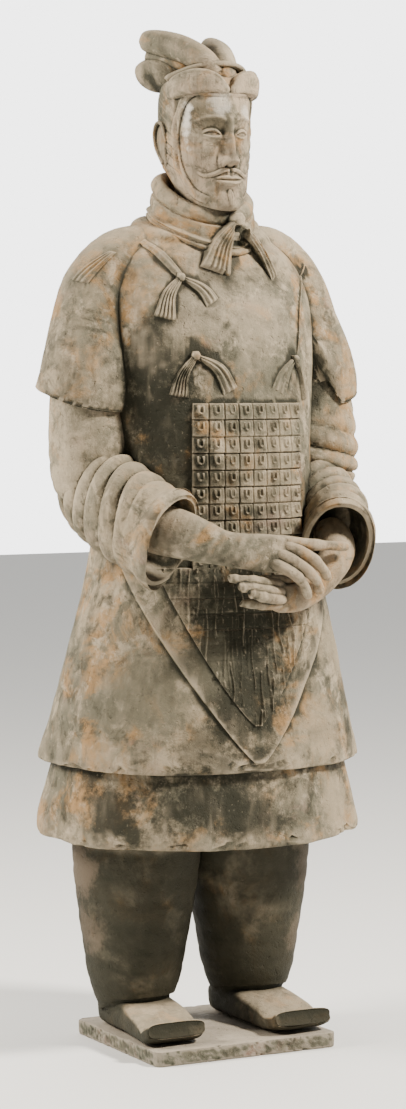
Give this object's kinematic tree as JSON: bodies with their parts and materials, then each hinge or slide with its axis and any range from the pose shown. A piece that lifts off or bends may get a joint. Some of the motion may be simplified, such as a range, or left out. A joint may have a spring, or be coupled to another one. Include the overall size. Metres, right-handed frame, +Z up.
{
  "type": "statue",
  "caption": "Life-size standing armoured warrior in fired clay with a winged cap, wide sleeves and clasped hands, on a thin square foot slab.",
  "frame": {"origin": "middle of the foot slab's flat underside", "axes": "+Z up, the figure faces -Y, its right side is at -X"},
  "size_m": [0.6822, 0.5875, 1.9537],
  "materials": {
    "slab_clay": "unglazed, dusty",
    "figure_clay": "unglazed, stained and worn",
    "head_clay": "unglazed, with traces of white slip",
    "hand_clay": "unglazed, worn"
  },
  "bodies": {
    "root": {"foot_plate": "slab_clay", "body": "figure_clay", "head": "head_clay", "right_hand": "hand_clay", "left_hand": "hand_clay"}
  },
  "joints": []
}
